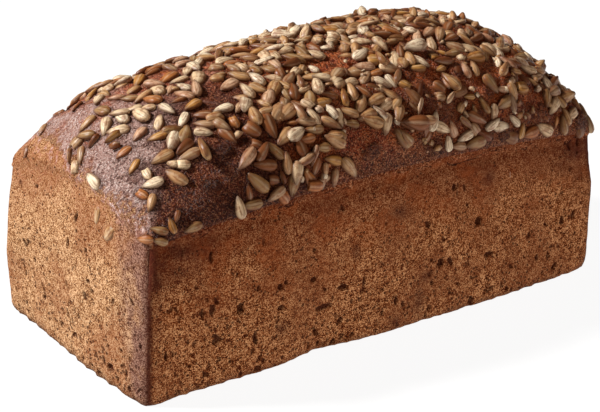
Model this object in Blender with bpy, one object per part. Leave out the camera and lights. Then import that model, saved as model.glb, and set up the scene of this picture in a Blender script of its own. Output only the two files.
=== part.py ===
"""Sunflower seed bread loaf: a rye loaf baked in a tin, its dome strewn with hulled kernels.

Metres, +Z up. The origin is the middle of the flat base. X runs along the loaf and Y across it.
A place on the dome is a distance along the loaf and a lean, the angle down from the crest line:
0 on the crest, -90 at the front rim and +90 at the back rim.
"""

import math
import random

import bmesh
import bpy
import numpy as np
from mathutils import Matrix, Vector

# The walls, as the tin left them
LENGTH = 0.230
WIDTH = 0.109
CORNER_RADIUS = 0.0045
RIM_HEIGHT = 0.0632  # at the corners, where the dough cleared the tin
RIM_ARCH_SIDE = 0.0064  # how much higher the rim is halfway along a side
RIM_ARCH_END = 0.0084
WALL_BOW = 0.0006
FOOT_FLARE = 0.0007  # how far the foot of each wall stands out
END_CROWN = 0.0024  # how much further it stands out at an end, at its fullest place
END_CROWN_AT = 0.018  # off the middle of the end
END_CROWN_RADIUS = 0.030
# The same for a side: distance along, radius, depth
FOOT_SWELLS = (
    (0.062, 0.045, 0.0016),
    (-0.034, 0.016, -0.0034),
    (-0.095, 0.026, -0.0016),
)
FOOT_INSET = 0.0008  # the flat base stops this far inside the foot
FOOT_HEIGHT = 0.0016
FOOT_WAVE = 0.0008

# The dome
DOME_RISE = 0.0478
DOME_LEAN = 0.085  # the +X half rose this share more than the middle, the -X half this much less
DOME_POWER_NEAR = 3.75  # towards -X
DOME_POWER_FAR = 3.5
DOME_ROOT_ALONG = 1.52
DOME_ROOT_ACROSS = 2.1
LIP_SIDE = 0.0010  # how far the rim stands out over a side
LIP_END = -0.0024  # and over an end, where the dome's shoulder draws it in
LIP_HEIGHT = 0.0035
LIP_START = 0.65  # level of the wall where it starts to lean towards the lip
CREASE = 0.0008
# Broad swells and hollows of the dome: distance along, distance across, radius, rise
SWELLS = (
    (0.085, 0.010, 0.030, 0.0014),
    (0.040, 0.000, 0.030, 0.0009),
    (-0.050, 0.010, 0.035, -0.0014),
    (-0.095, 0.030, 0.030, 0.0012),
)
LUMP = 0.0007  # smaller unevenness of dome and walls

# The cage of the loaf: cuts along, across and up
CELLS_ALONG = 26
CELLS_ACROSS = 14
WALL_LEVELS = (0.028, 0.35, 0.7, 0.965)

# The kernels
KERNEL_WIDTH = 0.50  # of the length
KERNEL_CROWN = 0.25  # height over the widest outline, of the length
KERNEL_SUNK = 0.025  # of the length, how far the widest outline lies below the crust
KERNEL_LARGEST = 0.0108
KERNEL_SMALLEST = 0.0088
KERNEL_TILT = 6  # most that a kernel's tip dips or rises, in degrees
KERNEL_ROLL = 14
KERNEL_SPACING = 0.0086  # least distance from middle to middle
KERNEL_TRIES = 6000
KERNEL_SEED = 11
SOWN_ALONG = 0.493  # reach of the strewn part either way, of the length
SOWN_LEAN = 84
THIN_END = -0.045  # nearer the -X end than this the dome is strewn more thinly
THIN_COVER = 0.72
# Outline of half a kernel from its pointed tip: share of the length, share of the half width
KERNEL_OUTLINE = ((0.27, 0.68), (0.63, 1.0), (0.95, 0.55))
KERNEL_RIDGE = ((0.36, 0.86), (0.74, 1.0))  # share of the length, share of the crown
KERNEL_KEEL = 0.25  # depth of the hidden underside, of the length

# Bare crust: distance along, lean in degrees, radius
BARE_PATCHES = (
    (-0.080, -60, 0.0150),
    (-0.090, -76, 0.0110),
    (-0.062, -22, 0.0080),
    (-0.067, 9, 0.0070),
    (-0.038, 20, 0.0070),
    (-0.014, -24, 0.0075),
    (-0.004, -22, 0.0070),
    (0.027, -46, 0.0075),
    (0.049, -54, 0.0070),
    (0.062, -49, 0.0060),
    (0.077, -64, 0.0080),
    (-0.017, -70, 0.0110),
    (-0.004, -82, 0.0120),
    (0.012, -84, 0.0080),
    (0.020, 58, 0.0120),
    (-0.055, 66, 0.0110),
    (0.074, 40, 0.0080),
    (0.108, 12, 0.0090),
)
# Kernels that lie by themselves at the near end: distance along, lean, turn, length
LONE_KERNELS = (
    (-0.1085, 5, 80, 0.0092),
    (-0.1105, 0, 95, 0.0090),
    (-0.1050, 2, 35, 0.0088),
    (-0.1110, -15, 120, 0.0086),
    (-0.1010, 9, 95, 0.0092),
    (-0.0995, 1, 30, 0.0094),
    (-0.0985, -10, 30, 0.0098),
    (-0.0935, -3, 40, 0.0090),
    (-0.0900, -9, 20, 0.0092),
    (-0.1015, -23, 60, 0.0096),
    (-0.1030, -34, 15, 0.0098),
    (-0.1045, -43, 70, 0.0094),
    (-0.1058, -53, 75, 0.0094),
    (-0.1080, -71, -15, 0.0092),
    (-0.1115, -78, 5, 0.0100),
    (-0.1025, -77, 110, 0.0092),
    (-0.0950, -85, 20, 0.0096),
    (-0.0880, -27, 75, 0.0100),
    (-0.0830, -34, 35, 0.0098),
    (-0.0800, -30, -60, 0.0088),
)
# Where the dome's near end stays bare but for those
BARE_END = -0.091
BARE_END_SLANT = 0.00010  # per degree of lean away from the front


def bumps(x, y, z):
    """Gentle unevenness from -1 to 1, about 25 mm from lump to lump."""
    return (
        np.sin(251 * x + 1.3 + 1.7 * np.sin(173 * y + 97 * z))
        + np.sin(223 * y + 4.1 + 1.5 * np.sin(139 * x + 61 * z))
        + np.sin(197 * z + 2.2 + 1.9 * np.sin(157 * x + 113 * y))
    ) / 3


def rounded_plan(x, y, half_x, half_y):
    """Moves the points of a rectangle's corners onto quarter rounds."""
    across_x = np.clip((np.abs(x) - (half_x - CORNER_RADIUS)) / CORNER_RADIUS, 0, 1)
    across_y = np.clip((np.abs(y) - (half_y - CORNER_RADIUS)) / CORNER_RADIUS, 0, 1)
    reach = np.hypot(across_x, across_y)
    shrink = np.where(reach > 0, np.maximum(across_x, across_y) / np.maximum(reach, 1e-9), 1)
    in_corner = (across_x > 0) & (across_y > 0)
    round_x = np.sign(x) * (half_x - CORNER_RADIUS + across_x * shrink * CORNER_RADIUS)
    round_y = np.sign(y) * (half_y - CORNER_RADIUS + across_y * shrink * CORNER_RADIUS)
    return np.where(in_corner, round_x, x), np.where(in_corner, round_y, y)


def rim(u, v):
    """Height of the rim, carried inwards over the dome."""
    side = RIM_ARCH_SIDE * (1 - u**2) * np.abs(v) ** 4
    end = RIM_ARCH_END * (1 - v**2) * np.abs(u) ** 6
    return RIM_HEIGHT + side + end


def lip(u, v):
    """How far the rim stands out from the plan."""
    at_end = np.abs(u) ** 8
    return LIP_SIDE * (1 - at_end) + LIP_END * at_end


def foot_reach(x, y):
    """How far the foot stands out, along X and along Y."""
    off_fullest = (y * np.sign(x) - END_CROWN_AT) / END_CROWN_RADIUS
    end = END_CROWN * np.exp(-(off_fullest**2))
    side = sum(deep * np.exp(-(((x * -np.sign(y) - at_x) / radius) ** 2)) for at_x, radius, deep in FOOT_SWELLS)
    return FOOT_FLARE + end, FOOT_FLARE + side


def dome_points(u, v):
    """Points of the top crust for places from -1 to 1 along and across."""
    power = np.where(u > 0, DOME_POWER_FAR, DOME_POWER_NEAR)
    along = np.clip(1 - np.abs(u) ** power, 0, 1) ** (1 / DOME_ROOT_ALONG)
    across = np.clip(1 - v**2, 0, 1) ** (1 / DOME_ROOT_ACROSS)
    rise = DOME_RISE * (1 + DOME_LEAN * u) * along * across
    x, y = rounded_plan(u * LENGTH / 2, v * WIDTH / 2, LENGTH / 2, WIDTH / 2)
    inside = np.clip(1 - u**8, 0, 1) * np.clip(1 - v**8, 0, 1)
    for at_x, at_y, radius, height in SWELLS:
        rise = rise + inside * height * np.exp(-((x - at_x) ** 2 + (y - at_y) ** 2) / radius**2)
    z = rim(u, v) + rise
    z = z + inside * 2 * LUMP * bumps(x, y, z)
    edge = np.maximum(np.abs(u), np.abs(v))
    out = lip(u, v) * np.exp(-((rise / LIP_HEIGHT) ** 2)) * np.clip((edge - 0.8) / 0.2, 0, 1)
    reach = np.maximum(np.hypot(u, v), 1e-9)
    return np.stack([x + out * u / reach, y + out * v / reach, z], -1)


def wall_points(u, v, level):
    """Points of the walls, where u or v is 1 or -1 and level runs from 0 at the base to 1 at the rim."""
    x, y = rounded_plan(u * LENGTH / 2, v * WIDTH / 2, LENGTH / 2, WIDTH / 2)
    z = level * rim(u, v)
    foot = (level > 0) & (level < 0.1)
    z = np.where(foot, FOOT_HEIGHT + FOOT_WAVE * bumps(x * 3.1, y * 3.1, 0), z)
    middle, low = 4 * level * (1 - level), (1 - level) ** 2
    out = (WALL_BOW + LUMP * bumps(x, y, z)) * middle - np.where(level == 0, FOOT_INSET, 0)
    out = out - CREASE * np.clip((level - 0.9) / 0.065, 0, 1)
    out = out + lip(u, v) * np.clip((level - LIP_START) / (1 - LIP_START), 0, 1)
    foot_x, foot_y = foot_reach(x, y)
    out_x = (out + foot_x * low) * np.abs(u) ** 12
    out_y = (out + foot_y * low) * np.abs(v) ** 12
    return np.stack([x + np.sign(u) * out_x, y + np.sign(v) * out_y, z], -1)


def cage_lines(cells):
    """Cuts from -1 to 1, evenly spaced round an arch, so that they crowd towards the rim."""
    return [math.sin(math.pi * (i / cells - 0.5)) for i in range(1, cells)]


def loaf_body(material):
    """The bare loaf: a cube cut into a cage, whose points are then moved onto walls and dome."""
    bpy.ops.mesh.primitive_cube_add(size=2)
    loaf = bpy.context.object
    loaf.name = loaf.data.name = "loaf"
    cage = bmesh.new()
    cage.from_mesh(loaf.data)
    cuts = [(Vector((1, 0, 0)), c) for c in cage_lines(CELLS_ALONG)]
    cuts += [(Vector((0, 1, 0)), c) for c in cage_lines(CELLS_ACROSS)]
    cuts += [(Vector((0, 0, 1)), 2 * level - 1) for level in WALL_LEVELS]
    for axis, place in cuts:
        everything = cage.verts[:] + cage.edges[:] + cage.faces[:]
        bmesh.ops.bisect_plane(cage, geom=everything, plane_co=axis * place, plane_no=axis)
    base = [f for f in cage.faces if f.normal.z < -0.5]
    bmesh.ops.dissolve_faces(cage, faces=base, use_verts=True)
    places = np.array([v.co for v in cage.verts])
    u, v, level = places[:, 0], places[:, 1], np.round((places[:, 2] + 1) / 2, 4)
    points = np.where((level == 1)[:, None], dome_points(u, v), wall_points(u, v, level))
    for vertex, point in zip(cage.verts, points):
        vertex.co = point
    bmesh.ops.triangulate(cage, faces=cage.faces[:])
    cage.to_mesh(loaf.data)
    cage.free()
    loaf.data.materials.append(material)
    return loaf


def crust_frame(along, lean):
    """Point and outward normal of the dome at a distance along and a lean in degrees."""
    step, most = 1e-3, 0.9985
    u = np.clip(along / (LENGTH / 2), -most, most)
    v = np.clip(math.sin(math.radians(lean)), -most, most)
    near = dome_points(np.array([u, u + step, u]), np.array([v, v, v + step * (1 - abs(v))]))
    normal = np.cross(near[1] - near[0], near[2] - near[0])
    return Vector(near[0]), Vector(normal).normalized()


def coverage(along, lean, point):
    """How thickly the dome is strewn there, from 0 to 1."""
    for at_x, at_lean, radius in BARE_PATCHES:
        if (point - crust_frame(at_x, at_lean)[0]).length < radius:
            return 0.0
    if along < BARE_END + BARE_END_SLANT * lean:
        return 0.0
    return THIN_COVER if along < THIN_END else 1.0


def sow(draw):
    """Places of the large kernels: point, normal, turn in degrees and length."""
    sown = []
    for along, lean, turn, length in LONE_KERNELS:
        point, normal = crust_frame(along, lean)
        sown.append((point, normal, turn, length))
    for _ in range(KERNEL_TRIES):
        along = draw.uniform(-SOWN_ALONG, SOWN_ALONG) * LENGTH
        lean = draw.uniform(-SOWN_LEAN, SOWN_LEAN)
        chance, turn, size = draw.random(), draw.uniform(0, 360), draw.random()
        point, normal = crust_frame(along, lean)
        if any((point - other[0]).length < KERNEL_SPACING for other in sown):
            continue
        if chance > coverage(along, lean, point):
            continue
        sown.append((point, normal, turn, KERNEL_SMALLEST + size * (KERNEL_LARGEST - KERNEL_SMALLEST)))
    return sown


def kernel_blank():
    """A kernel of length 1, tip at -X: the hull of its outline, the ridge on top and a keel."""
    half = KERNEL_WIDTH / 2
    corners = [(0, 0, 0), (0.5, 0, -KERNEL_KEEL)]
    corners += [(share, side * half * wide, 0) for share, wide in KERNEL_OUTLINE for side in (-1, 1)]
    corners += [(share, 0, KERNEL_CROWN * high) for share, high in KERNEL_RIDGE]
    form = bmesh.new()
    for x, y, z in corners:
        form.verts.new((x - 0.5, y, z))
    bmesh.ops.convex_hull(form, input=form.verts[:])
    mesh = bpy.data.meshes.new("kernel_blank")
    form.to_mesh(mesh)
    form.free()
    return mesh


def lay_kernels(draw, material):
    """The large kernels as objects in their own collection, each pressed a little into the crust."""
    strewn = bpy.data.collections.new("kernels")
    bpy.context.scene.collection.children.link(strewn)
    blank = kernel_blank()
    blank.materials.append(material)
    for number, (point, normal, turn, length) in enumerate(sow(draw)):
        kernel = bpy.data.objects.new(f"kernel_{number:03d}", blank.copy())
        upright = normal.to_track_quat("Z", "Y").to_matrix().to_4x4()
        tilt = Matrix.Rotation(math.radians(draw.uniform(-KERNEL_TILT, KERNEL_TILT)), 4, "Y")
        roll = Matrix.Rotation(math.radians(draw.uniform(-KERNEL_ROLL, KERNEL_ROLL)), 4, "X")
        kernel.matrix_world = (
            Matrix.Translation(point - normal * KERNEL_SUNK * length)
            @ upright
            @ Matrix.Rotation(math.radians(turn), 4, "Z")
            @ tilt
            @ roll
            @ Matrix.Scale(length, 4)
        )
        strewn.objects.link(kernel)
    return strewn


def fuse(loaf, strewn):
    """Joins the kernels to the loaf in one solid, and takes them away."""
    bpy.context.view_layer.update()
    union = loaf.modifiers.new("kernels", "BOOLEAN")
    union.operation = "UNION"
    union.operand_type = "COLLECTION"
    union.collection = strewn
    union.solver = "EXACT"
    bpy.context.view_layer.objects.active = loaf
    bpy.ops.object.modifier_apply(modifier=union.name)
    for kernel in list(strewn.objects):
        bpy.data.objects.remove(kernel)
    bpy.data.collections.remove(strewn)


def keep_outer_shell(loaf):
    """Fills the small hollows that kernels seal between them, and drops loose scraps."""
    form = bmesh.new()
    form.from_mesh(loaf.data)
    unseen, shells = set(form.verts), []
    while unseen:
        shell, edge = set(), [unseen.pop()]
        while edge:
            vertex = edge.pop()
            shell.add(vertex)
            linked = [e.other_vert(vertex) for e in vertex.link_edges]
            fresh = [other for other in linked if other in unseen]
            unseen.difference_update(fresh)
            edge.extend(fresh)
        shells.append(shell)
    shells.sort(key=len)
    bmesh.ops.delete(form, geom=[v for shell in shells[:-1] for v in shell], context="VERTS")
    form.to_mesh(loaf.data)
    form.free()


def finish(name, colour, roughness):
    """A material by name, linear colour and roughness."""
    material = bpy.data.materials.new(name)
    material.use_nodes = True
    surface = material.node_tree.nodes["Principled BSDF"]
    surface.inputs["Base Color"].default_value = (*colour, 1)
    surface.inputs["Roughness"].default_value = roughness
    surface.inputs["Metallic"].default_value = 0
    return material


def main():
    for old in list(bpy.data.objects):
        bpy.data.objects.remove(old)
    crust = finish("baked_crust", (0.22, 0.085, 0.032), 0.75)
    toasted = finish("toasted_kernel", (0.36, 0.20, 0.10), 0.55)
    loaf = loaf_body(crust)
    fuse(loaf, lay_kernels(random.Random(KERNEL_SEED), toasted))
    keep_outer_shell(loaf)
    loaf.data.shade_smooth()
    loaf.data.set_sharp_from_angle(angle=math.radians(40))


main()
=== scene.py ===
"""Looks of a sunflower seed bread loaf: a grainy rye crust, and hulled kernels strewn over its dome.

Metres, +Z up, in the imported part's frame. X runs along the loaf and Y across it. A place on the dome is a
distance along the loaf and a lean, the angle down from the crest line: -90 at the front rim, +90 at the back.
"""

import math
import random

import bmesh
import bpy
import numpy as np
from mathutils import Matrix, Vector, kdtree, noise


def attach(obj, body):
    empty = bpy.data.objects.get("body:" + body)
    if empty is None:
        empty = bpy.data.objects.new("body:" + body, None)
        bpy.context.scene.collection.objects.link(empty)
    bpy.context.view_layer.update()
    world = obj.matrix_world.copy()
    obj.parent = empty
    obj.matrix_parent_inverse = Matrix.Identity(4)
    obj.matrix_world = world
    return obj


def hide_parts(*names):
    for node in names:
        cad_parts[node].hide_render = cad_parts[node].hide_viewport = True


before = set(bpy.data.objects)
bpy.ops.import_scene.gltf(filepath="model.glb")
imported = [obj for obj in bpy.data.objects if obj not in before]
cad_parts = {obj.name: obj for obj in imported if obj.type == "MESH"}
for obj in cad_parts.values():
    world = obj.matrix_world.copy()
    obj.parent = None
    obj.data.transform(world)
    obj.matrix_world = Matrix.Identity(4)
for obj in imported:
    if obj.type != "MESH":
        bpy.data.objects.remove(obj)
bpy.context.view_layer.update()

MM = 0.001

# The view
IMAGE_WIDTH = 600
CAMERA_AZIMUTH = -37.66  # 0 looks along +Y
CAMERA_ELEVATION = 21
CAMERA_DISTANCE = 0.699
CAMERA_ROLL = 1.2
CAMERA_TARGET = (0, 0, 0.045)
TARGET_PIXEL = (310, 189)  # where the target shows
MIDDLE_PIXEL = (300, 206)
FOCAL_PIXELS = 1653
SENSOR = 36

# The walls, as the tin left them
LENGTH = 0.230
WIDTH = 0.109
CORNER_RADIUS = 0.0045
RIM_HEIGHT = 0.0632
RIM_ARCH_SIDE = 0.0064
RIM_ARCH_END = 0.0084
WALL_BOW = 0.0006
FOOT_FLARE = 0.0007
END_CROWN = 0.0024
END_CROWN_AT = 0.018
END_CROWN_RADIUS = 0.030
# How far the foot of a side stands out: distance along, radius, depth
FOOT_SWELLS = (
    (0.062, 0.045, 0.0016),
    (-0.034, 0.016, -0.0034),
    (-0.095, 0.026, -0.0016),
)
FOOT_INSET = 0.0008
FOOT_HEIGHT = 0.0016
FOOT_WAVE = 0.0008
FOOT_RAGGED = 0.0010

# The dome
DOME_RISE = 0.0478
DOME_LEAN = 0.085
DOME_POWER_NEAR = 3.75
DOME_POWER_FAR = 3.5
DOME_ROOT_ALONG = 1.52
DOME_ROOT_ACROSS = 2.1
LIP_SIDE = 0.0010
LIP_END = -0.0024
LIP_HEIGHT = 0.0035
LIP_START = 0.65
CREASE = 0.0008
# Broad swells and hollows: distance along, distance across, radius, rise
SWELLS = (
    (0.085, 0.010, 0.030, 0.0014),
    (0.040, 0.000, 0.030, 0.0009),
    (-0.050, 0.010, 0.035, -0.0014),
    (-0.095, 0.030, 0.030, 0.0012),
)
LUMP = 0.0007

# The fine cage of the crust: two rounds of cuts for each way
CUTS_ALONG = (10, 23)
CUTS_ACROSS = (11, 11)
CUTS_UP = (6, 7)
PIT_CUTS = 2

# The kernels that the solid has too
KERNEL_WIDTH = 0.52
KERNEL_THICKNESS = 0.33
KERNEL_LIFT = 0.07  # of the length, from the crust up to the kernel's middle
KERNEL_LARGEST = 0.0108
KERNEL_SMALLEST = 0.0088
KERNEL_TILT = 6
KERNEL_ROLL = 14
KERNEL_SPACING = 0.0086
KERNEL_TRIES = 6000
KERNEL_SEED = 11
SOWN_ALONG = 0.493
SOWN_LEAN = 84
THIN_END = -0.045
THIN_COVER = 0.72
BARE_END = -0.091
BARE_END_SLANT = 0.00010
# Bare crust: distance along, lean in degrees, radius
BARE_PATCHES = (
    (-0.080, -60, 0.0150),
    (-0.090, -76, 0.0110),
    (-0.062, -22, 0.0080),
    (-0.067, 9, 0.0070),
    (-0.038, 20, 0.0070),
    (-0.014, -24, 0.0075),
    (-0.004, -22, 0.0070),
    (0.027, -46, 0.0075),
    (0.049, -54, 0.0070),
    (0.062, -49, 0.0060),
    (0.077, -64, 0.0080),
    (-0.017, -70, 0.0110),
    (-0.004, -82, 0.0120),
    (0.012, -84, 0.0080),
    (0.020, 58, 0.0120),
    (-0.055, 66, 0.0110),
    (0.074, 40, 0.0080),
    (0.108, 12, 0.0090),
)
# Kernels that lie by themselves at the near end: distance along, lean, turn, length
LONE_KERNELS = (
    (-0.1085, 5, 80, 0.0092),
    (-0.1105, 0, 95, 0.0090),
    (-0.1050, 2, 35, 0.0088),
    (-0.1110, -15, 120, 0.0086),
    (-0.1010, 9, 95, 0.0092),
    (-0.0995, 1, 30, 0.0094),
    (-0.0985, -10, 30, 0.0098),
    (-0.0935, -3, 40, 0.0090),
    (-0.0900, -9, 20, 0.0092),
    (-0.1015, -23, 60, 0.0096),
    (-0.1030, -34, 15, 0.0098),
    (-0.1045, -43, 70, 0.0094),
    (-0.1058, -53, 75, 0.0094),
    (-0.1080, -71, -15, 0.0092),
    (-0.1115, -78, 5, 0.0100),
    (-0.1025, -77, 110, 0.0092),
    (-0.0950, -85, 20, 0.0096),
    (-0.0880, -27, 75, 0.0100),
    (-0.0830, -34, 35, 0.0098),
    (-0.0800, -30, -60, 0.0088),
)

# Tones of the kernels, as places on one scale of colours
IVORY, CREAM, PINK, TAN, GREY, OLIVE, GOLD, ORANGE, BROWN = (n / 8 for n in range(9))
KERNEL_SHADES = (
    "#f6dfbc", "#e4c398", "#d0a07e", "#c0925f", "#aa8562", "#a07a4c", "#c28c48", "#b46e3a", "#84502c",
)
LOOSE_TONES = (
    (IVORY, 8), (CREAM, 20), (PINK, 10), (TAN, 28), (GREY, 7),
    (OLIVE, 9), (GOLD, 5), (ORANGE, 4), (BROWN, 13),
)

# Kernels that the photograph shows, read one by one: the pixel of the middle, the angle of the long axis on
# the picture, the length in pixels, the tone. First those that lie flat
SEEN_FLAT = (
    # the near end, from left to right
    (25, 152, 80, 13, BROWN), (42, 129, 60, 14, GREY), (68, 100, 40, 14, BROWN), (57, 112, 20, 15, BROWN),
    (76, 106, 40, 14, BROWN), (80, 155, 85, 19, GREY), (92, 181, -50, 18, IVORY), (111, 83, 20, 14, BROWN),
    (121, 85, 25, 18, TAN), (132, 74, 0, 12, CREAM), (139, 81, 60, 17, GOLD), (152, 72, 20, 16, BROWN),
    (98, 99, 55, 15, CREAM), (116, 97, 10, 18, PINK), (130, 98, 5, 20, OLIVE), (101, 110, -10, 18, OLIVE),
    (121, 117, -35, 18, IVORY), (140, 113, -35, 22, CREAM), (147, 107, 0, 16, CREAM),
    (157, 90, -30, 22, CREAM), (151, 99, -10, 19, ORANGE), (105, 126, 75, 19, CREAM),
    (139, 133, 50, 19, PINK), (157, 136, 15, 22, GOLD), (183, 120, 65, 19, IVORY),
    (173, 142, 70, 24, IVORY), (189, 155, 28, 26, GREY), (193, 104, 32, 19, GOLD),
    (203, 114, -3, 22, BROWN), (204, 124, -8, 23, GREY), (179, 99, 20, 17, BROWN),
    (183, 86, -20, 16, IVORY), (168, 78, 30, 20, ORANGE), (153, 70, 30, 19, ORANGE),
    (198, 79, 80, 21, CREAM), (187, 71, 75, 17, CREAM), (219, 74, 10, 14, OLIVE),
    (123, 152, 40, 20, ORANGE), (134, 166, 60, 19, GOLD), (152, 183, 18, 24, IVORY),
    (151, 202, 75, 20, TAN),
    # down to the near corner
    (178, 216, 75, 13, BROWN), (172, 225, -70, 18, GOLD), (194, 229, 25, 20, OLIVE),
    (159, 230, -10, 20, OLIVE), (161, 242, -8, 15, OLIVE), (144, 240, 0, 18, ORANGE),
    # the middle
    (233, 67, -30, 17, GREY), (257, 78, -35, 20, IVORY), (274, 77, -12, 20, CREAM),
    (269, 68, -15, 20, OLIVE), (294, 73, 50, 18, CREAM), (247, 90, -45, 20, CREAM), (241, 97, -10, 18, TAN),
    (239, 107, 60, 14, CREAM), (273, 91, 65, 20, TAN), (294, 90, -80, 20, BROWN), (264, 103, -25, 17, TAN),
    (279, 110, -115, 26, TAN), (254, 114, -65, 22, TAN), (317, 86, -75, 20, CREAM),
    (313, 68, -40, 13, IVORY), (325, 73, 10, 13, ORANGE), (310, 97, -80, 18, OLIVE),
    (329, 94, -10, 20, BROWN), (313, 116, -55, 22, CREAM), (292, 122, 10, 13, ORANGE),
    (270, 126, 115, 28, BROWN), (285, 136, 50, 22, TAN), (314, 129, 5, 20, OLIVE),
    (306, 139, 12, 20, ORANGE), (323, 147, 0, 16, OLIVE), (334, 135, -10, 14, TAN),
    (270, 52, 0, 14, ORANGE), (286, 51, 15, 17, CREAM), (259, 46, -3, 20, BROWN), (242, 46, 0, 12, ORANGE),
    (227, 53, 60, 14, TAN), (326, 47, 5, 16, IVORY),
    # down to the front rim
    (247, 159, 55, 25, PINK), (266, 165, 0, 25, BROWN), (275, 150, -40, 26, OLIVE),
    (258, 182, -38, 28, OLIVE), (250, 192, -80, 17, BROWN), (275, 194, 45, 22, GREY),
    (254, 210, 12, 22, OLIVE), (286, 207, -50, 22, ORANGE), (294, 185, 80, 25, OLIVE),
    (310, 178, -60, 20, ORANGE), (316, 167, 75, 20, BROWN), (325, 170, 88, 16, TAN),
    (325, 187, 88, 18, GREY), (334, 160, -10, 18, GOLD), (338, 187, 85, 20, GREY),
    # the crest
    (374, 13, 0, 10, BROWN), (352, 36, 10, 13, IVORY), (346, 55, 0, 14, TAN), (366, 48, -30, 13, GOLD),
    (383, 34, -5, 20, BROWN), (403, 34, 35, 13, PINK), (395, 27, -20, 15, IVORY), (392, 42, 15, 14, OLIVE),
    (395, 59, -80, 20, CREAM), (409, 48, 5, 18, GREY), (354, 72, 15, 21, TAN), (374, 73, 20, 18, ORANGE),
    (363, 90, -35, 20, BROWN), (376, 100, 25, 22, TAN), (367, 115, 20, 20, TAN), (351, 123, -5, 18, OLIVE),
    (337, 135, -15, 20, OLIVE), (398, 114, 80, 20, TAN), (410, 123, 0, 22, BROWN),
    (403, 137, -50, 24, OLIVE),
    # the far end
    (413, 25, -8, 22, BROWN), (442, 11, 30, 12, TAN), (461, 13, 30, 12, ORANGE), (471, 18, -30, 12, BROWN),
    (430, 27, 10, 14, TAN), (438, 32, 60, 12, CREAM), (461, 34, 70, 14, CREAM), (471, 27, -30, 16, TAN),
    (475, 38, 25, 20, BROWN), (488, 47, -50, 20, CREAM), (455, 47, -20, 24, GREY),
    (431, 42, -70, 18, CREAM), (414, 49, 10, 26, IVORY), (475, 57, 5, 22, GOLD), (466, 69, -65, 18, PINK),
    (442, 52, -20, 12, GOLD), (417, 68, 3, 18, GOLD), (441, 68, 30, 11, GOLD), (447, 82, -60, 14, PINK),
    (457, 79, -50, 12, ORANGE), (503, 89, -5, 14, PINK), (533, 82, -40, 16, TAN), (547, 83, -60, 22, IVORY),
    (554, 106, 65, 20, CREAM), (567, 116, -70, 20, TAN), (557, 122, 80, 12, ORANGE),
    (505, 103, 35, 18, OLIVE), (470, 96, 0, 12, GOLD), (485, 105, -60, 20, OLIVE),
    (414, 124, -5, 24, BROWN), (428, 138, 70, 16, BROWN), (459, 148, 0, 16, GREY),
    (477, 149, 20, 22, OLIVE), (531, 133, 25, 18, ORANGE), (406, 138, -45, 18, OLIVE),
    (512, 62, -15, 20, BROWN), (529, 64, -20, 18, BROWN),
)
# Then those that lie on edge
SEEN_EDGE = (
    (74, 142, 40, 16, TAN), (93, 141, 50, 18, BROWN), (69, 156, 85, 16, TAN), (113, 137, 35, 20, GOLD),
    (185, 148, 38, 22, BROWN), (204, 149, -65, 24, TAN), (291, 64, 15, 18, BROWN),
    (298, 112, -50, 24, GREY), (283, 177, -70, 15, BROWN), (304, 161, 40, 24, GREY),
    (355, 49, -75, 18, TAN), (351, 91, -65, 20, TAN), (345, 97, -75, 18, GOLD), (475, 111, -80, 16, TAN),
    (420, 106, 80, 18, CREAM), (362, 10, 80, 12, IVORY), (517, 45, -60, 12, BROWN),
    (331, 111, -50, 20, IVORY),
)
# Snapped ones
SEEN_SNAPPED = (
    (74, 171, 85, 10, CREAM), (179, 164, 0, 8, CREAM), (146, 171, -60, 11, CREAM),
    (139, 193, -30, 12, ORANGE), (251, 65, -20, 10, GREY), (335, 83, 30, 14, CREAM),
    (248, 127, -30, 22, BROWN), (233, 120, -60, 12, ORANGE), (254, 143, -20, 15, BROWN),
    (271, 180, 0, 12, BROWN), (313, 197, 0, 14, ORANGE), (363, 29, -60, 12, IVORY), (370, 60, 0, 20, GOLD),
    (418, 15, 0, 12, IVORY), (451, 17, -30, 10, IVORY), (519, 87, 0, 20, GOLD), (447, 34, 0, 10, TAN),
    (432, 56, 0, 9, GOLD),
)
# Ones under the same skin as the crust round them
SEEN_GLAZED = (
    (209, 185, 0, 16, TAN), (237, 216, 0, 14, TAN), (488, 78, -10, 16, ORANGE), (488, 89, -50, 14, TAN),
    (427, 94, -50, 18, TAN), (447, 105, 0, 16, ORANGE), (445, 119, -60, 18, BROWN),
    (510, 138, -15, 20, TAN), (502, 43, 0, 12, ORANGE), (395, 120, 60, 15, BROWN), (372, 152, 30, 16, TAN),
    (222, 150, 20, 16, TAN),
)
# And chips
SEEN_CHIPS = (
    (102, 90, 0, 9, CREAM), (110, 89, 0, 6, CREAM), (174, 89, 0, 8, TAN), (174, 164, 0, 6, CREAM),
    (115, 145, 20, 6, BROWN), (301, 84, 0, 8, CREAM), (237, 135, 30, 7, CREAM), (461, 58, 10, 8, CREAM),
    (437, 148, 0, 9, TAN), (497, 60, 0, 9, CREAM), (539, 62, 0, 7, BROWN), (553, 78, -20, 8, BROWN),
    (567, 94, 0, 8, BROWN), (512, 81, 60, 8, CREAM), (506, 90, 0, 7, IVORY), (380, 88, 0, 6, CREAM),
)
# And those that stand up against the sky: the pixel of the foot, and the angle that the tip leans
SEEN_PROPPED = (
    (362, 10, 95, 13, IVORY), (371, 17, 20, 12, BROWN), (350, 22, 150, 11, TAN), (394, 16, 60, 12, BROWN),
    (413, 14, 100, 12, TAN), (427, 16, 150, 11, ORANGE), (440, 14, 80, 12, CREAM), (452, 18, 120, 11, TAN),
    (461, 18, 95, 12, ORANGE), (475, 25, 60, 12, TAN), (487, 35, 70, 11, BROWN), (500, 44, 80, 12, TAN),
    (517, 49, 110, 13, CREAM), (538, 66, 20, 13, TAN), (553, 83, 60, 11, BROWN), (566, 98, 20, 12, TAN),
    (328, 26, 120, 11, BROWN), (306, 34, 70, 10, CREAM), (284, 42, 140, 11, TAN),
)
SEEN_LARGEST = 0.0112
SEEN_SMALLEST = 0.0052
PROPPED_TILT = 20
FACING = 0.10  # least cosine between the crust and the view where a pixel is read as a place on it
STRETCH = 1.45  # most that a length on the picture is taken to be foreshortened

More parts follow.
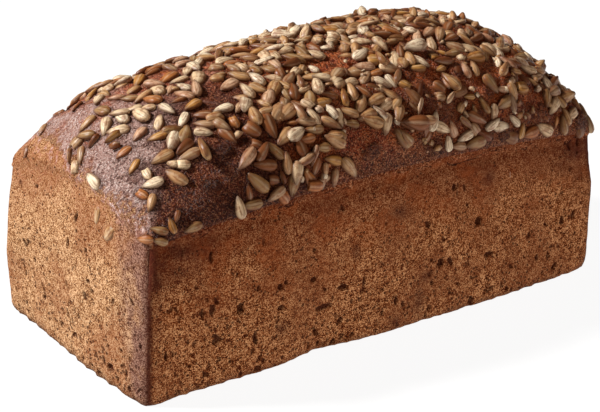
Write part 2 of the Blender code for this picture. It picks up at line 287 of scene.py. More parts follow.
# The kernels between them and on them
FILL_SEED = 23
FILL_TRIES = 11000
FILL_SPACING = 0.0041
FILL_LARGEST = 0.0102
FILL_SMALLEST = 0.0076
CLEAR_BITE = 0.0020  # how far a kernel of the solid may cut into one read from the photograph
FLAT_BITE = 0.0006  # how far two kernels may cut into each other and still lie flat
STACK_BITE = 0.0041
EDGE_SHARE = 0.12  # of the fill, lying on edge
BROKEN_SHARE = 0.09
GLAZED_SHARE = 0.07
CHIP_COUNT = 280
CHIP_LARGEST = 0.0046
CHIP_SMALLEST = 0.0016

# Crust heaped round a kernel, and round one under the skin
HEAP = 0.0005
GLAZED_HEAP = 0.0011
HEAP_REACH = 0.0022

# Larger pits of the front wall, in mm: distance along, height, half width, half height, depth
FRONT_PITS = (
    (-74.4, 30.5, 1.5, 2.4, 1.6),
    (46.2, 38.3, 1.8, 2.0, 1.6),
    (25.8, 24.7, 1.7, 2.2, 1.2),
    (-91.3, 32.6, 0.8, 2.4, 1.0),
    (-84.4, 19.5, 2.4, 1.3, 0.8),
    (-67.4, 16.4, 0.9, 3.0, 1.0),
    (-24.8, 26.3, 2.2, 1.2, 1.0),
    (-32.9, 19.4, 4.4, 1.2, 0.8),
    (-55.7, 34.5, 1.3, 1.6, 1.2),
    (-39.0, 33.0, 1.7, 1.2, 0.9),
    (52.8, 22.4, 2.6, 1.0, 0.9),
    (-14.1, 25.9, 0.8, 2.6, 0.9),
    (2.4, 13.6, 1.0, 1.8, 1.1),
    (88.2, 12.7, 0.8, 2.2, 1.0),
    (-54.9, 25.3, 1.5, 1.1, 1.0),
    (-87.4, 54.8, 0.7, 2.2, 1.2),
    (-36.5, 9.4, 1.3, 1.2, 1.1),
    (-107.5, 19.8, 0.7, 1.8, 0.9),
)
# And of the near end wall: distance across, height and the rest as above
END_PITS = (
    (-30.9, 7.9, 2.4, 1.6, 1.4),
    (-22.9, 2.4, 1.4, 0.9, 1.0),
    (-14.0, 37.1, 1.4, 0.8, 0.9),
    (-16.7, 33.9, 1.3, 0.9, 0.9),
    (-4.1, 10.8, 1.7, 1.2, 0.9),
    (6.3, 17.6, 1.4, 0.8, 0.9),
    (-38.2, 17.9, 1.0, 0.9, 0.8),
    (-4.6, 54.2, 1.1, 0.8, 0.9),
)
PIT_SEED = 5
PITS_PER_METRE = 650  # of the small pits that follow no plan, along each wall
# Stains of the front wall, in mm: distance along, height, half width, half height
STAINS = (
    (3.4, 51.9, 5.5, 3.2),
    (17.9, 20.2, 4.2, 2.6),
    (14.7, 10.2, 3.2, 6.5),
    (-18.6, 40.2, 2.2, 3.4),
    (2.7, 4.0, 2.6, 2.6),
    (-54.3, 16.6, 3.2, 3.2),
    (50.2, 56.7, 3.4, 3.0),
)
# The grey-brown haze of an end wall beside its edge: width at the rim and at the foot
HAZE_WIDE = 0.026
HAZE_NARROW = 0.012
# How far an end's tan reaches above the rim, away from the edge with the haze
TAN_OVER_RIM = 0.008
# Kernels baked into the walls: wall, distance along it in mm, height in mm, turn, tone
WALL_KERNELS = (
    ("front", 2.5, 21.3, 78, BROWN),
    ("front", 63.0, 55.0, 100, BROWN),
    ("front", -58.0, 52.0, 60, BROWN),
    ("near", -17.6, 64.0, 80, TAN),
    ("near", -26.1, 60.0, 50, TAN),
    ("back", 30.0, 30.0, 40, BROWN),
    ("back", -62.0, 44.0, 110, BROWN),
    ("back", 84.0, 18.0, 75, BROWN),
    ("far", 12.0, 40.0, 65, TAN),
    ("far", -24.0, 22.0, 120, TAN),
)
# How wide a kernel on edge is, as a share of one that lies flat
ON_EDGE_WIDTH = 0.6
# A kernel of the solid that is this close to one read off the photograph has to stay clear of it
BESIDE_SEEN = 0.012
# Where a snapped kernel ends, as a share of its length from the middle
SNAPPED_AT = -0.08
# Near the front rim of the higher half there are fewer kernels, and more of them are glazed. The near end
# has few, and none of them glazed
SKINNED_FROM = 0.010
GLAZED_FRONT_LEAN, GLAZED_SHARE_FRONT, GLAZED_FROM = -50, 0.45, -0.020
THIN_FRONT_LEAN, THIN_FRONT_SHARE, THIN_END_SHARE = -56, 0.55, 0.16
# Wall kernels, and how far their middles are inside the crust
WALL_KERNEL_LENGTH = 0.0090
BAKED_IN_SIDE, BAKED_IN_END = -0.0015, -0.0004


def srgb(code):
    """Linear colour of an sRGB hex value."""
    shares = [int(code[i : i + 2], 16) / 255 for i in (1, 3, 5)]
    return tuple(s / 12.92 if s <= 0.04045 else ((s + 0.055) / 1.055) ** 2.4 for s in shares) + (1.0,)


def clear_selection():
    if bpy.context.object and bpy.context.object.mode != "OBJECT":
        bpy.ops.object.mode_set(mode="OBJECT")
    bpy.ops.object.select_all(action="DESELECT")


def bumps(x, y, z):
    """Gentle unevenness from -1 to 1, about 25 mm from lump to lump."""
    return (
        np.sin(251 * x + 1.3 + 1.7 * np.sin(173 * y + 97 * z))
        + np.sin(223 * y + 4.1 + 1.5 * np.sin(139 * x + 61 * z))
        + np.sin(197 * z + 2.2 + 1.9 * np.sin(157 * x + 113 * y))
    ) / 3


def rounded_plan(u, v):
    """Points of the plan for places from -1 to 1, with those of its corners moved onto quarter rounds."""
    x, y = u * LENGTH / 2, v * WIDTH / 2
    straight_x, straight_y = LENGTH / 2 - CORNER_RADIUS, WIDTH / 2 - CORNER_RADIUS
    across_x = np.clip((np.abs(x) - straight_x) / CORNER_RADIUS, 0, 1)
    across_y = np.clip((np.abs(y) - straight_y) / CORNER_RADIUS, 0, 1)
    reach = np.hypot(across_x, across_y)
    shrink = np.where(reach > 0, np.maximum(across_x, across_y) / np.maximum(reach, 1e-9), 1)
    in_corner = (across_x > 0) & (across_y > 0)
    round_x = np.sign(x) * (straight_x + across_x * shrink * CORNER_RADIUS)
    round_y = np.sign(y) * (straight_y + across_y * shrink * CORNER_RADIUS)
    return np.where(in_corner, round_x, x), np.where(in_corner, round_y, y)


def rim(u, v):
    """Height of the rim, carried inwards over the dome."""
    side = RIM_ARCH_SIDE * (1 - u**2) * np.abs(v) ** 4
    end = RIM_ARCH_END * (1 - v**2) * np.abs(u) ** 6
    return RIM_HEIGHT + side + end


def lip(u, v):
    """How far the rim stands out from the plan."""
    at_end = np.abs(u) ** 8
    return LIP_SIDE * (1 - at_end) + LIP_END * at_end


def foot_reach(x, y):
    """How far the foot stands out, along X and along Y."""
    off_fullest = (y * np.sign(x) - END_CROWN_AT) / END_CROWN_RADIUS
    end = END_CROWN * np.exp(-(off_fullest**2))
    along = x * -np.sign(y)
    side = sum(deep * np.exp(-(((along - at_x) / radius) ** 2)) for at_x, radius, deep in FOOT_SWELLS)
    return FOOT_FLARE + end, FOOT_FLARE + side


def dome_points(u, v):
    """Points of the top crust for places from -1 to 1 along and across."""
    power = np.where(u > 0, DOME_POWER_FAR, DOME_POWER_NEAR)
    along = np.clip(1 - np.abs(u) ** power, 0, 1) ** (1 / DOME_ROOT_ALONG)
    across = np.clip(1 - v**2, 0, 1) ** (1 / DOME_ROOT_ACROSS)
    rise = DOME_RISE * (1 + DOME_LEAN * u) * along * across
    x, y = rounded_plan(u, v)
    inside = np.clip(1 - u**8, 0, 1) * np.clip(1 - v**8, 0, 1)
    for at_x, at_y, radius, height in SWELLS:
        rise = rise + inside * height * np.exp(-((x - at_x) ** 2 + (y - at_y) ** 2) / radius**2)
    z = rim(u, v) + rise
    z = z + inside * 2 * LUMP * bumps(x, y, z)
    edge = np.maximum(np.abs(u), np.abs(v))
    out = lip(u, v) * np.exp(-((rise / LIP_HEIGHT) ** 2)) * np.clip((edge - 0.8) / 0.2, 0, 1)
    reach = np.maximum(np.hypot(u, v), 1e-9)
    return np.stack([x + out * u / reach, y + out * v / reach, z], -1)


def smooth(low, high, value):
    """0 below low, 1 above high and a smooth step between."""
    share = np.clip((value - low) / (high - low), 0, 1)
    return share * share * (3 - 2 * share)


def wall_points(u, v, level):
    """Points of the walls, where u or v is 1 or -1 and level runs from 0 at the base to 1 at the rim."""
    x, y = rounded_plan(u, v)
    z = level * rim(u, v)
    middle, low = 4 * level * (1 - level), (1 - level) ** 2
    foot = FOOT_HEIGHT + FOOT_WAVE * bumps(x * 3.1, y * 3.1, 0)
    under = np.clip(1 - z / (2.2 * foot), 0, 1)
    out = (WALL_BOW + LUMP * bumps(x, y, z)) * middle - FOOT_INSET * under**2
    notches = np.abs(bumps(x * 1.9, y * 1.9, 0.01)) + 0.4 * np.abs(bumps(x * 3.7, y * 3.7, 0.02))
    out = out - FOOT_RAGGED * notches * smooth(0.12, 0.0, level)
    crease = CREASE * (1 - np.abs(u) ** 8)
    out = out - crease * smooth(0.90, 0.965, level) + crease * smooth(0.965, 1.0, level)
    out = out + lip(u, v) * np.clip((level - LIP_START) / (1 - LIP_START), 0, 1)
    foot_x, foot_y = foot_reach(x, y)
    out_x = (out + foot_x * low) * np.abs(u) ** 12
    out_y = (out + foot_y * low) * np.abs(v) ** 12
    return np.stack([x + np.sign(u) * out_x, y + np.sign(v) * out_y, z], -1)


def even_lines(points, places):
    """Places from -1 to 1 remapped so that they are evenly spaced along a curve."""
    steps = np.linalg.norm(np.diff(points, axis=0), axis=1)
    run = np.concatenate([[0], np.cumsum(steps)])
    return lambda even: np.interp((np.asarray(even) + 1) / 2 * run[-1], run, places)


FINE = np.linspace(-1, 1, 4001)
ALONG_LINES = even_lines(dome_points(FINE, np.full_like(FINE, 0.35)), FINE)
ACROSS_LINES = even_lines(dome_points(np.full_like(FINE, 0.2), FINE), FINE)


def form_points(cage):
    """Points of the loaf's form for points of a cube from -1 to 1, and the height of the rim there."""
    u, v = ALONG_LINES(cage[:, 0]), ACROSS_LINES(cage[:, 1])
    level = np.clip((cage[:, 2] + 1) / 2, 0, 1)
    top = level > 0.99999
    return np.where(top[:, None], dome_points(u, v), wall_points(u, v, level)), rim(u, v)


def plan_points(cage, heights):
    """The same points on the plain rounded plan, before lip, bow and foot move them, at their own heights."""
    u, v = ALONG_LINES(cage[:, 0]), ACROSS_LINES(cage[:, 1])
    x, y = rounded_plan(u, v)
    return np.stack([x, y, heights], -1)


def cage_sides(cage):
    """Which points of the cube lie on which wall, and which on the dome."""
    x, y, z = cage.T
    top, base = z > 0.9999, z < -0.9999
    return {
        "front": (y < -0.9999) & ~top & ~base,
        "back": (y > 0.9999) & ~top & ~base,
        "near": (x < -0.9999) & ~top & ~base,
        "far": (x > 0.9999) & ~top & ~base,
        "top": top,
    }


def wall_pits():
    """All pits of the walls: wall, distance along it, height, half width, half height, slant, depth."""
    draw = random.Random(PIT_SEED)
    pits = [("front", *(n * MM for n in row[:4]), 0.0, row[4] * MM) for row in FRONT_PITS]
    pits += [("near", *(n * MM for n in row[:4]), 0.0, row[4] * MM) for row in END_PITS]
    for wall in ("front", "back", "near", "far"):
        span = LENGTH if wall in ("front", "back") else WIDTH
        for _ in range(int(PITS_PER_METRE * span)):
            place = draw.uniform(-0.47, 0.47) * span
            height = 0.002 + 0.060 * draw.random() ** (2.0 if wall in ("front", "back") else 1.3)
            half = draw.uniform(0.4, 0.9) * MM * (1.5 if draw.random() < 0.2 else 1)
            long = half * draw.uniform(1.0, 2.4)
            slant = math.radians(draw.gauss(0, 32))
            depth = half * draw.uniform(0.6, 1.0)
            pits.append((wall, place, height, half, long, slant, depth))
    return pits


def pit_field(points, sides, pits, reach):
    """Depth in metres, and how far inside a pit from 0 to 1, at points on the walls."""
    x, y, z = points.T
    ragged = np.array([noise.noise(Vector(p) * 900) for p in points])
    depth = np.zeros(len(points))
    inside = np.zeros(len(points))
    for wall, place, height, half, long, slant, deep in pits:
        along = x if wall in ("front", "back") else y
        furthest = 3 * long + half
        near = sides[wall] & (np.abs(along - place) < furthest) & (np.abs(z - height) < furthest)
        if not near.any():
            continue
        a, b = along[near] - place, z[near] - height
        across = a * math.cos(slant) + b * math.sin(slant)
        up = b * math.cos(slant) - a * math.sin(slant)
        away = np.hypot(across / half, up / long) + 0.35 * ragged[near]
        share = 1 - smooth(0.7, reach, away)
        depth[near] = np.maximum(depth[near], deep * share)
        inside[near] = np.maximum(inside[near], share * min(1, deep / (0.8 * MM)))
    return depth, inside


def stain_field(points, sides):
    """How dark a stain is, from 0 to 1, at points on the front wall."""
    x, y, z = points.T
    found = np.zeros(len(points))
    for place, height, half, long in STAINS:
        away = np.hypot((x - place * MM) / (half * MM), (z - height * MM) / (long * MM))
        found = np.maximum(found, np.exp(-(away**2)))
    return found * sides["front"]


def haze_field(points, rims):
    """The haze of an end wall beside one edge, and the darker part of a side beside the ends, from 0 to 1."""
    x, y, z = points.T
    wide = HAZE_NARROW + (HAZE_WIDE - HAZE_NARROW) * np.clip(z / rims, 0, 1)
    from_edge = WIDTH / 2 - y * np.sign(x)
    from_end = LENGTH / 2 - np.abs(x)
    at_end = smooth(0.004, 0.001, from_end)
    beside_end = 0.5 * smooth(0.010, 0.002, from_end)
    beside_end = beside_end + 1.0 * smooth(0.045, 0.010, from_end) * smooth(0.50, 0.95, z / rims)
    beside_end = beside_end * smooth(0.004, 0.001, WIDTH / 2 - np.abs(y))
    beside_edge = smooth(1.25, 0.55, from_edge / wide) + 0.6 * smooth(0.010, 0.002, from_edge)
    return np.maximum(at_end * beside_edge, (1 - at_end) * beside_end)


def heap_field(points, laid, height):
    """How far the crust is heaped up round kernels, in metres."""
    found = np.zeros(len(points))
    tree = kdtree.KDTree(len(points))
    for index, point in enumerate(points):
        tree.insert(point, index)
    tree.balance()
    for kernel in laid:
        for middle, radius in zip(*discs(kernel["matrix"], kernel["length"])):
            for _, index, away in tree.find_range(middle, radius + HEAP_REACH):
                share = min(1, (radius + HEAP_REACH - away) / HEAP_REACH)
                found[index] = max(found[index], height * share * share * (3 - 2 * share))
    return found


def layered(points, size, octaves=3):
    """Noise from about -1 to 1 with lumps of a size in metres, at points."""
    return np.array([noise.fractal(Vector(p) / size, 1.0, 2.0, octaves) for p in points])


def give_attribute(mesh, name, values):
    attribute = mesh.attributes.new(name, "FLOAT", "POINT")
    attribute.data.foreach_set("value", np.asarray(values, np.float32))


def crust_cage(pits):
    """A cube cut into a fine cage, and cut finer still where the pits come."""
    clear_selection()
    bpy.ops.mesh.primitive_cube_add(size=2)
    crust = bpy.context.object
    crust.name = crust.data.name = "rye_crust"
    bpy.ops.object.mode_set(mode="EDIT")
    bpy.ops.mesh.select_mode(type="EDGE")
    for axis, rounds in enumerate((CUTS_ALONG, CUTS_ACROSS, CUTS_UP)):
        for cuts in rounds:
            cage = bmesh.from_edit_mesh(crust.data)
            for edge in cage.edges:
                run = edge.verts[1].co - edge.verts[0].co
                edge.select = abs(run[axis]) > 0.9 * run.length
            bmesh.update_edit_mesh(crust.data)
            bpy.ops.mesh.subdivide(number_cuts=cuts)
    bpy.ops.mesh.select_mode(type="FACE")
    cage = bmesh.from_edit_mesh(crust.data)
    middles = np.array([f.calc_center_median() for f in cage.faces])
    depth, inside = pit_field(form_points(middles)[0], cage_sides(middles), pits, 1.9)
    for face, pick in zip(cage.faces, inside > 0):
        face.select = bool(pick)
    bmesh.update_edit_mesh(crust.data)
    bpy.ops.mesh.subdivide(number_cuts=PIT_CUTS)
    cage = bmesh.from_edit_mesh(crust.data)
    for face in cage.faces:
        face.select = face.calc_center_median().z < -0.9999
    bmesh.update_edit_mesh(crust.data)
    bpy.ops.mesh.dissolve_faces()
    bpy.ops.object.mode_set(mode="OBJECT")
    return crust


def make_crust(walls, top, laid, glazed):
    """The bare loaf: the cage moved onto its form, then heaped round its kernels, grained and pitted."""
    pits = wall_pits()
    crust = crust_cage(pits)
    mesh = crust.data
    cage = np.array([v.co for v in mesh.vertices])
    points, rims = form_points(cage)
    sides = cage_sides(cage)
    mesh.vertices.foreach_set("co", points.astype(np.float32).ravel())
    mesh.update()
    normals = np.array([v.normal for v in mesh.vertices])
    depth, inside = pit_field(points, sides, pits, 1.15)
    over = points[:, 2] - rims
    dome = sides["top"]
    heap = np.zeros(len(points))
    heaps = (heap_field(points[dome], laid, HEAP), heap_field(points[dome], glazed, GLAZED_HEAP))
    heap[dome] = np.maximum(*heaps)
    heap = heap * smooth(0.0, 0.004, over)
    grain = layered(points, 2.4 * MM, 2)
    swell = layered(points, 8 * MM, 2)
    relief = np.where(dome, 0.30 * grain + 0.42 * swell, 0.08 * grain + 0.26 * swell) * MM
    above = smooth(0.0, 0.0015, points[:, 2])
    moved = points + normals * ((relief + heap - depth) * above)[:, None]
    mesh.vertices.foreach_set("co", moved.astype(np.float32).ravel())
    mesh.update()
    plan = plan_points(cage, points[:, 2])
    to_end, to_side = LENGTH / 2 - np.abs(plan[:, 0]), WIDTH / 2 - np.abs(plan[:, 1])
    to_edge = np.hypot(to_end, to_side)
    plan_x, plan_y = np.abs(normals[:, 0]), np.abs(normals[:, 1])
    at_end = smooth(0.35, 0.65, plan_x / np.maximum(plan_x + plan_y, 1e-6))
    at_end = np.where(dome, at_end, smooth(-0.0012, 0.0012, to_side - to_end))
    above_tan = TAN_OVER_RIM * smooth(-0.020, 0.030, points[:, 1] * -np.sign(points[:, 0])) * at_end
    give_attribute(mesh, "over", (over - above_tan) / MM)
    give_attribute(mesh, "rise", points[:, 2] / rims)
    # painted shade: the walls' colour is darkened inside the pits
    give_attribute(mesh, "pit", inside)
    burnt_reach = 0.0034 + 0.0030 * smooth(0.6, 1.0, points[:, 2] / rims)
    give_attribute(mesh, "edge", smooth(1.0, 0.38, to_edge / burnt_reach) * (1 - 0.6 * at_end) * ~dome)
    # painted sheen: where the dome's ends are paled to lilac, standing in for the key light's sheen
    give_attribute(mesh, "painted_end_sheen", at_end * (0.25 + 0.75 * smooth(0.074, 0.094, np.abs(points[:, 0]))))
    give_attribute(mesh, "foot", smooth(0.0034, 0.0006, points[:, 2]))
    give_attribute(mesh, "stain", stain_field(points, sides))
    give_attribute(mesh, "haze", haze_field(plan, rims))
    give_attribute(mesh, "end", at_end)
    # painted shade: how far the dome's colour is darkened beside its kernels
    give_attribute(mesh, "painted_kernel_shade", np.clip(heap / HEAP, 0, 1))
    give_attribute(mesh, "scorch", smooth(-0.020, -0.060, points[:, 0]) * smooth(0.0, -0.020, points[:, 1]))
    glossy = dome & (over > above_tan + 0.004 * at_end)
    mesh.materials.append(walls)
    mesh.materials.append(top)
    for face in mesh.polygons:
        face.material_index = int(glossy[list(face.vertices)].all())
    mesh.shade_smooth()
    return crust


def crust_frame(along, lean):
    """Point and outward normal of the dome at a distance along and a lean in degrees."""
    step, most = 1e-3, 0.9985
    u = np.clip(along / (LENGTH / 2), -most, most)
    v = np.clip(math.sin(math.radians(lean)), -most, most)
    near = dome_points(np.array([u, u + step, u]), np.array([v, v, v + step * (1 - abs(v))]))
    normal = np.cross(near[1] - near[0], near[2] - near[0])
    return Vector(near[0]), Vector(normal).normalized()


BARE_POINTS = [(crust_frame(at_x, at_lean)[0], radius) for at_x, at_lean, radius in BARE_PATCHES]


def coverage(along, lean, point):
    """How thickly the dome is strewn there, from 0 to 1."""
    for middle, radius in BARE_POINTS:
        if (point - middle).length < radius:
            return 0.0
    if along < BARE_END + BARE_END_SLANT * lean:
        return 0.0
    return THIN_COVER if along < THIN_END else 1.0


def placed(point, normal, turn, tilt, roll, lift):
    """Matrix that lays a kernel of unit length on the crust."""
    return (
        Matrix.Translation(point + normal * lift)
        @ normal.to_track_quat("Z", "Y").to_matrix().to_4x4()
        @ Matrix.Rotation(math.radians(turn), 4, "Z")
        @ Matrix.Rotation(math.radians(tilt), 4, "Y")
        @ Matrix.Rotation(math.radians(roll), 4, "X")
    )


def camera_axes():
    """Where the camera stands, and its right, up and forward. It is aimed so that it needs no shift."""
    azimuth, elevation, roll = (math.radians(n) for n in (CAMERA_AZIMUTH, CAMERA_ELEVATION, CAMERA_ROLL))
    flat = math.cos(elevation)
    back = Vector((math.sin(azimuth) * flat, -math.cos(azimuth) * flat, math.sin(elevation)))
    level = Vector((math.cos(azimuth), math.sin(azimuth), 0))
    upright = level.cross(-back)
    right = level * math.cos(roll) + upright * math.sin(roll)
    up = upright * math.cos(roll) - level * math.sin(roll)
    off_x = (MIDDLE_PIXEL[0] - TARGET_PIXEL[0]) / FOCAL_PIXELS
    off_y = (TARGET_PIXEL[1] - MIDDLE_PIXEL[1]) / FOCAL_PIXELS
    forward = (-back + right * off_x + up * off_y).normalized()
    right = (right - forward * right.dot(forward)).normalized()
    return Vector(CAMERA_TARGET) + back * CAMERA_DISTANCE, right, right.cross(forward), forward


def pixel_places():
    """A search tree from pixels to places on the part of the dome that the camera sees."""
    spot, right, up, forward = (np.array(axis) for axis in camera_axes())
    u, lean = np.meshgrid(np.linspace(-0.996, 0.996, 640), np.linspace(-85, 60, 320))
    points = dome_points(u, np.sin(np.radians(lean)))
    normals = np.cross(np.gradient(points, axis=1), np.gradient(points, axis=0))
    normals /= np.linalg.norm(normals, axis=-1, keepdims=True)
    to_camera = spot - points
    faces = (to_camera * normals).sum(-1) > FACING * np.linalg.norm(to_camera, axis=-1)
    seen = points[faces] + normals[faces] * MM - spot
    deep = seen @ forward
    pixels_x = MIDDLE_PIXEL[0] + FOCAL_PIXELS * (seen @ right) / deep
    pixels_y = MIDDLE_PIXEL[1] - FOCAL_PIXELS * (seen @ up) / deep
    places = np.stack([u[faces] * LENGTH / 2, lean[faces]], -1)
    tree = kdtree.KDTree(len(places))
    for index, pixel in enumerate(zip(pixels_x, pixels_y)):
        tree.insert((*pixel, 0), index)
    tree.balance()
    return tree, places


def read_kernel(row, tree, places):
    """A kernel from its row: point, normal, turn, length and place on the dome, and its tone."""
    x, y, angle, pixels, tone = row
    along, lean = places[tree.find((x, y, 0))[1]]
    point, normal = crust_frame(along, lean)
    spot, right, up, _ = camera_axes()
    ray = (point - spot).normalized()
    shown = right * math.cos(math.radians(angle)) + up * math.sin(math.radians(angle))
    run = shown - ray * (shown.dot(normal) / ray.dot(normal))
    flat = normal.to_track_quat("Z", "Y").to_matrix().transposed() @ run
    length = pixels * (point - spot).length / FOCAL_PIXELS * min(run.length, STRETCH)
    length = min(max(length, SEEN_SMALLEST), SEEN_LARGEST)
    return point, normal, math.degrees(math.atan2(flat.y, flat.x)), length, along, lean, tone


def discs(matrix, length):
    """Three discs that stand for a kernel seen flat: middles, and radii."""
    spots = ((-0.30, 0.13), (0.02, 0.22), (0.29, 0.20))
    middles = [matrix @ Vector((share * length, 0, 0)) for share, _ in spots]
    return [tuple(m) for m in middles], [radius * length for _, radius in spots]


class Strewing:
    """The kernels laid so far, and the discs that stand for them."""

    def __init__(self, draw):
        self.draw = draw
        self.kernels = []
        self.middles, self.radii = [], []

    def bite(self, matrix, length):
        """How far a kernel would cut into those laid before it, and where the nearest of those is."""
        if not self.middles:
            return -1.0, matrix.translation
        middles, radii = discs(matrix, length)
        taken = np.array(self.middles)
        gaps = np.linalg.norm(taken[None] - np.array(middles)[:, None], axis=2)
        over = np.array(radii)[:, None] + np.array(self.radii)[None] - gaps
        deepest = np.unravel_index(over.argmax(), over.shape)
        return over[deepest], Vector(taken[deepest[1]])

    def lay(self, kind, spot, tone, stands=False, most=1.0):
        """Lays a kernel. Where it meets another it leans on it. One that would cut in too far is left out."""
        point, normal, turn, length, along, lean = spot
        width = length * (ON_EDGE_WIDTH if stands else 1)
        flat = placed(point, normal, turn, 0, 0, KERNEL_LIFT * length)
        over, other = self.bite(flat, width)
        if over > most:
            return
        tilt = self.draw.uniform(-KERNEL_TILT, KERNEL_TILT)
        roll = self.draw.uniform(-KERNEL_ROLL, KERNEL_ROLL)
        lift = KERNEL_LIFT * length
        if stands:
            roll = math.copysign(self.draw.uniform(52, 78), roll)
            lift += 0.05 * length
        elif over > FLAT_BITE:
            side = flat.inverted() @ other
            lift += min(0.0024, 0.75 * (over - FLAT_BITE))
            if abs(side.x) > abs(side.y):
                tilt = -math.copysign(min(24, 4500 * over), side.x)
            else:
                roll = math.copysign(min(26, 6000 * over), side.y)
        if kind == "glazed":
            lift -= 0.10 * length
        matrix = placed(point, normal, turn, tilt, roll, lift)
        middles, radii = discs(flat, width)
        self.middles += middles
        self.radii += radii
        kernel = {"kind": kind, "matrix": matrix, "length": length, "tone": tone, "point": point}
        self.kernels.append({**kernel, "along": along, "lean": lean})

    def prop(self, spot, tone):
        """Props a kernel up: its blunt end sits on the crust and its tip rises."""
        point, normal, turn, _, along, lean = spot
        length = SEEN_LARGEST - self.draw.uniform(1, 4) * MM
        tilt = PROPPED_TILT + self.draw.uniform(-14, 14)
        matrix = placed(point, normal, turn + 180, tilt, self.draw.uniform(-60, 60), 0.20 * length)
        kernel = {"kind": "whole", "matrix": matrix, "length": length, "tone": tone, "point": point}
        self.kernels.append({**kernel, "along": along, "lean": lean})


def lay_seen(strewing, tree, places):
    """The kernels read from the photograph, the dark ones first, so that the pale ones end up on top."""
    rows = [(row, "whole", False) for row in SEEN_FLAT]
    rows += [(row, "whole", True) for row in SEEN_EDGE]
    rows += [(row, "snapped", False) for row in SEEN_SNAPPED]
    rows += [(row, "glazed", False) for row in SEEN_GLAZED]
    rows.sort(key=lambda entry: -entry[0][4])
    for row, kind, stands in rows:
        *spot, tone = read_kernel(row, tree, places)
        if kind == "snapped":
            spot[3] = min(1.55 * spot[3], SEEN_LARGEST)
        strewing.lay(kind, spot, tone, stands)
    for row in SEEN_PROPPED:
        *spot, tone = read_kernel(row, tree, places)
        strewing.prop(spot, tone)


def solid_kernels():
    """The kernels of the solid: point, normal, turn, length, distance along and lean."""
    draw = random.Random(KERNEL_SEED)
    sown = []
    for along, lean, turn, length in LONE_KERNELS:
        sown.append((*crust_frame(along, lean), turn, length, along, lean))
    for _ in range(KERNEL_TRIES):
        along = draw.uniform(-SOWN_ALONG, SOWN_ALONG) * LENGTH
        lean = draw.uniform(-SOWN_LEAN, SOWN_LEAN)
        chance, turn, size = draw.random(), draw.uniform(0, 360), draw.random()
        point, normal = crust_frame(along, lean)
        if any((point - other[0]).length < KERNEL_SPACING for other in sown):
            continue
        if chance > coverage(along, lean, point):
            continue
        length = KERNEL_SMALLEST + size * (KERNEL_LARGEST - KERNEL_SMALLEST)
        sown.append((point, normal, turn, length, along, lean))
    return sown


def loose_kind(draw, along, lean):
    """Whether a kernel that follows no plan is whole, snapped or under the crust's skin."""
    pick = draw.random()
    at_front = along > SKINNED_FROM and lean < GLAZED_FRONT_LEAN
    share = GLAZED_SHARE_FRONT if at_front else GLAZED_SHARE
    if pick < share and along > GLAZED_FROM:
        return "glazed"
    return "snapped" if pick > 1 - BROKEN_SHARE else "whole"


def loose_tone(draw):
    tones, weights = zip(*LOOSE_TONES)
    return draw.choices(tones, weights)[0]


def thickly(along, lean, point):
    """How thickly the last strewing covers the dome there."""
    here = coverage(along, lean, point)
    if along < THIN_END:
        return THIN_END_SHARE * here
    if along > SKINNED_FROM and lean < THIN_FRONT_LEAN:
        return THIN_FRONT_SHARE * here
    return here


def lay_fill(strewing, draw):
    """Kernels between and on the others, each turned the way that fits best."""
    for _ in range(FILL_TRIES):
        along = draw.uniform(-SOWN_ALONG, SOWN_ALONG) * LENGTH
        lean = draw.uniform(-SOWN_LEAN, SOWN_LEAN)
        chance, size, first_turn = draw.random(), draw.random(), draw.uniform(0, 360)
        stands, kind, tone = draw.random() < EDGE_SHARE, loose_kind(draw, along, lean), loose_tone(draw)
        point, normal = crust_frame(along, lean)
        if chance > thickly(along, lean, point):
            continue
        if any((point - other["point"]).length < FILL_SPACING for other in strewing.kernels):
            continue
        length = FILL_SMALLEST + size * (FILL_LARGEST - FILL_SMALLEST)
        turns = [first_turn + 30 * turned for turned in range(6)]
        width = length * (ON_EDGE_WIDTH if stands else 1)
        tried = [placed(point, normal, turn, 0, 0, KERNEL_LIFT * length) for turn in turns]
        bites = [strewing.bite(matrix, width)[0] for matrix in tried]
        best = turns[int(np.argmin(bites))]
        strewing.lay(kind, (point, normal, best, length, along, lean), tone, stands, STACK_BITE)


def strew_dome():
    """Every kernel of the dome."""
    tree, places = pixel_places()
    draw = random.Random(FILL_SEED)
    strewing = Strewing(draw)
    lay_seen(strewing, tree, places)
    seen = len(strewing.kernels)
    for spot in solid_kernels():
        beside_seen = any((spot[0] - k["point"]).length < BESIDE_SEEN for k in strewing.kernels[:seen])
        kind, tone = loose_kind(draw, spot[4], spot[5]), loose_tone(draw)
        strewing.lay(kind, spot, tone, most=CLEAR_BITE if beside_seen else 1.0)
    lay_fill(strewing, draw)
    return strewing.kernels, tree, places


def chip_places(draw, kernels, tree, places):
    """Chips: those that the photograph shows, and others between the kernels."""
    chips = []
    for row in SEEN_CHIPS:
        point, normal, turn, length, *_, tone = read_kernel(row, tree, places)
        length = min(length, 1.3 * CHIP_LARGEST)
        matrix = placed(point, normal, turn, 0, 0, 0.2 * length)
        chips.append({"matrix": matrix, "length": length, "tone": tone})
    dense = [k for k in kernels if k["along"] > THIN_END]
    for _ in range(CHIP_COUNT):
        beside = draw.choice(dense)
        along = beside["along"] + draw.uniform(-1, 1) * 0.006
        lean = beside["lean"] + draw.uniform(-1, 1) * 7
        point, normal = crust_frame(along, max(-SOWN_LEAN, min(SOWN_LEAN, lean)))
        length = draw.uniform(CHIP_SMALLEST, CHIP_LARGEST)
        turn, tilt, lift = draw.uniform(0, 360), draw.uniform(-40, 40), draw.uniform(0.5, 1.6) * MM
        matrix = placed(point, normal, turn, tilt, 0, lift)
        chips.append({"matrix": matrix, "length": length, "tone": loose_tone(draw)})
    return chips


